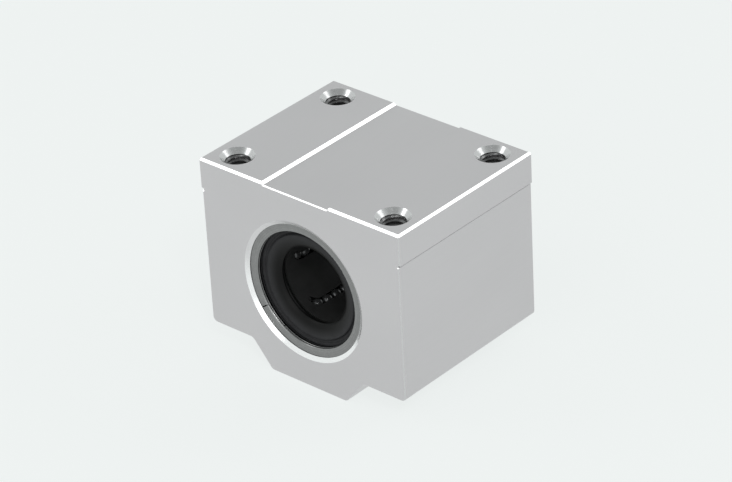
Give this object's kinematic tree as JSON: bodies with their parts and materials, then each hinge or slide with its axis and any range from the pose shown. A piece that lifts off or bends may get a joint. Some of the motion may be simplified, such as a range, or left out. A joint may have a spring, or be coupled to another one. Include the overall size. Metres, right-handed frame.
{
  "type": "linear ball bushing in a pillow block",
  "caption": "Anodised aluminium pillow block with tapped mounting face and centre channel, holding a sealed recirculating linear ball bushing kept in by snap rings.",
  "frame": {"origin": "on the bore axis, half way along the block", "axes": "+Y along the shaft bore, front end at -Y; +Z towards the tapped mounting face; +X across the block"},
  "size_m": [0.05, 0.039, 0.042],
  "materials": {
    "housing_aluminium": "satin clear anodised",
    "ring_steel": "ground spring steel",
    "sleeve_steel": "ground hardened steel",
    "case_steel": "pressed steel",
    "cage_plastic": "moulded",
    "seal_rubber": "moulded nitrile",
    "ball_steel": "polished"
  },
  "bodies": {
    "block": {"housing": "housing_aluminium", "snap_ring_front": "ring_steel", "snap_ring_rear": "ring_steel"},
    "bushing": {"outer_sleeve": "sleeve_steel", "ball_cage": "cage_plastic", "seal_case_front": "case_steel", "seal_case_rear": "case_steel", "end_seal_front": "seal_rubber", "end_seal_rear": "seal_rubber"},
    "loaded_balls_1": {"loaded_balls_1": "ball_steel"},
    "return_balls_1": {"return_balls_1": "ball_steel"},
    "front_turn_balls_1": {"front_turn_balls_1": "ball_steel"},
    "rear_turn_balls_1": {"rear_turn_balls_1": "ball_steel"},
    "loaded_balls_2": {"loaded_balls_2": "ball_steel"},
    "return_balls_2": {"return_balls_2": "ball_steel"},
    "front_turn_balls_2": {"front_turn_balls_2": "ball_steel"},
    "rear_turn_balls_2": {"rear_turn_balls_2": "ball_steel"},
    "loaded_balls_3": {"loaded_balls_3": "ball_steel"},
    "return_balls_3": {"return_balls_3": "ball_steel"},
    "front_turn_balls_3": {"front_turn_balls_3": "ball_steel"},
    "rear_turn_balls_3": {"rear_turn_balls_3": "ball_steel"},
    "loaded_balls_4": {"loaded_balls_4": "ball_steel"},
    "return_balls_4": {"return_balls_4": "ball_steel"},
    "front_turn_balls_4": {"front_turn_balls_4": "ball_steel"},
    "rear_turn_balls_4": {"rear_turn_balls_4": "ball_steel"},
    "loaded_balls_5": {"loaded_balls_5": "ball_steel"},
    "return_balls_5": {"return_balls_5": "ball_steel"},
    "front_turn_balls_5": {"front_turn_balls_5": "ball_steel"},
    "rear_turn_balls_5": {"rear_turn_balls_5": "ball_steel"}
  },
  "joints": [
    {"name": "bushing_turn", "type": "hinge", "parent": "block", "child": "bushing", "pos_m": [0, 0, 0], "axis": [0, 1, 0], "continuous": true},
    {"name": "row_travel_1", "type": "slide", "parent": "bushing", "child": "loaded_balls_1", "axis": [0, 1, 0], "range_m": [-0.00126, 0.00126]},
    {"name": "return_travel_1", "type": "slide", "parent": "bushing", "child": "return_balls_1", "axis": [0, 1, 0], "range_m": [-0.00126, 0.00126]},
    {"name": "front_turn_roll_1", "type": "hinge", "parent": "bushing", "child": "front_turn_balls_1", "pos_m": [-0.00601, -0.01008, -0.00737], "axis": [-0.4147, 0, -0.91], "range_deg": [-30, 30]},
    {"name": "rear_turn_roll_1", "type": "hinge", "parent": "bushing", "child": "rear_turn_balls_1", "pos_m": [-0.00601, 0.01008, -0.00737], "axis": [-0.4147, 0, -0.91], "range_deg": [-30, 30]},
    {"name": "row_travel_2", "type": "slide", "parent": "bushing", "child": "loaded_balls_2", "axis": [0, 1, 0], "range_m": [-0.00126, 0.00126]},
    {"name": "return_travel_2", "type": "slide", "parent": "bushing", "child": "return_balls_2", "axis": [0, 1, 0], "range_m": [-0.00126, 0.00126]},
    {"name": "front_turn_roll_2", "type": "hinge", "parent": "bushing", "child": "front_turn_balls_2", "pos_m": [0.00516, -0.01008, -0.00799], "axis": [0.7373, 0, -0.6756], "range_deg": [-30, 30]},
    {"name": "rear_turn_roll_2", "type": "hinge", "parent": "bushing", "child": "rear_turn_balls_2", "pos_m": [0.00516, 0.01008, -0.00799], "axis": [0.7373, 0, -0.6756], "range_deg": [-30, 30]},
    {"name": "row_travel_3", "type": "slide", "parent": "bushing", "child": "loaded_balls_3", "axis": [0, 1, 0], "range_m": [-0.00126, 0.00126]},
    {"name": "return_travel_3", "type": "slide", "parent": "bushing", "child": "return_balls_3", "axis": [0, 1, 0], "range_m": [-0.00126, 0.00126]},
    {"name": "front_turn_roll_3", "type": "hinge", "parent": "bushing", "child": "front_turn_balls_3", "pos_m": [0.00919, -0.01008, 0.00244], "axis": [0.8704, 0, 0.4924], "range_deg": [-30, 30]},
    {"name": "rear_turn_roll_3", "type": "hinge", "parent": "bushing", "child": "rear_turn_balls_3", "pos_m": [0.00919, 0.01008, 0.00244], "axis": [0.8704, 0, 0.4924], "range_deg": [-30, 30]},
    {"name": "row_travel_4", "type": "slide", "parent": "bushing", "child": "loaded_balls_4", "axis": [0, 1, 0], "range_m": [-0.00126, 0.00126]},
    {"name": "return_travel_4", "type": "slide", "parent": "bushing", "child": "return_balls_4", "axis": [0, 1, 0], "range_m": [-0.00126, 0.00126]},
    {"name": "front_turn_roll_4", "type": "hinge", "parent": "bushing", "child": "front_turn_balls_4", "pos_m": [0.00052, -0.01008, 0.0095], "axis": [-0.1994, 0, 0.9799], "range_deg": [-30, 30]},
    {"name": "rear_turn_roll_4", "type": "hinge", "parent": "bushing", "child": "rear_turn_balls_4", "pos_m": [0.00052, 0.01008, 0.0095], "axis": [-0.1994, 0, 0.9799], "range_deg": [-30, 30]},
    {"name": "row_travel_5", "type": "slide", "parent": "bushing", "child": "loaded_balls_5", "axis": [0, 1, 0], "range_m": [-0.00126, 0.00126]},
    {"name": "return_travel_5", "type": "slide", "parent": "bushing", "child": "return_balls_5", "axis": [0, 1, 0], "range_m": [-0.00126, 0.00126]},
    {"name": "front_turn_roll_5", "type": "hinge", "parent": "bushing", "child": "front_turn_balls_5", "pos_m": [-0.00887, -0.01008, 0.00343], "axis": [-0.9936, 0, 0.1132], "range_deg": [-30, 30]},
    {"name": "rear_turn_roll_5", "type": "hinge", "parent": "bushing", "child": "rear_turn_balls_5", "pos_m": [-0.00887, 0.01008, 0.00343], "axis": [-0.9936, 0, 0.1132], "range_deg": [-30, 30]}
  ],
  "couplings": [
    {"joint": "return_travel_1", "follows": "row_travel_1", "ratio": -1},
    {"joint": "front_turn_roll_1", "follows": "row_travel_1", "rad_per_m": -415.55},
    {"joint": "rear_turn_roll_1", "follows": "row_travel_1", "rad_per_m": -415.55},
    {"joint": "return_travel_2", "follows": "row_travel_2", "ratio": -1},
    {"joint": "front_turn_roll_2", "follows": "row_travel_2", "rad_per_m": -415.55},
    {"joint": "rear_turn_roll_2", "follows": "row_travel_2", "rad_per_m": -415.55},
    {"joint": "return_travel_3", "follows": "row_travel_3", "ratio": -1},
    {"joint": "front_turn_roll_3", "follows": "row_travel_3", "rad_per_m": -415.55},
    {"joint": "rear_turn_roll_3", "follows": "row_travel_3", "rad_per_m": -415.55},
    {"joint": "return_travel_4", "follows": "row_travel_4", "ratio": -1},
    {"joint": "front_turn_roll_4", "follows": "row_travel_4", "rad_per_m": -415.55},
    {"joint": "rear_turn_roll_4", "follows": "row_travel_4", "rad_per_m": -415.55},
    {"joint": "return_travel_5", "follows": "row_travel_5", "ratio": -1},
    {"joint": "front_turn_roll_5", "follows": "row_travel_5", "rad_per_m": -415.55},
    {"joint": "rear_turn_roll_5", "follows": "row_travel_5", "rad_per_m": -415.55}
  ]
}
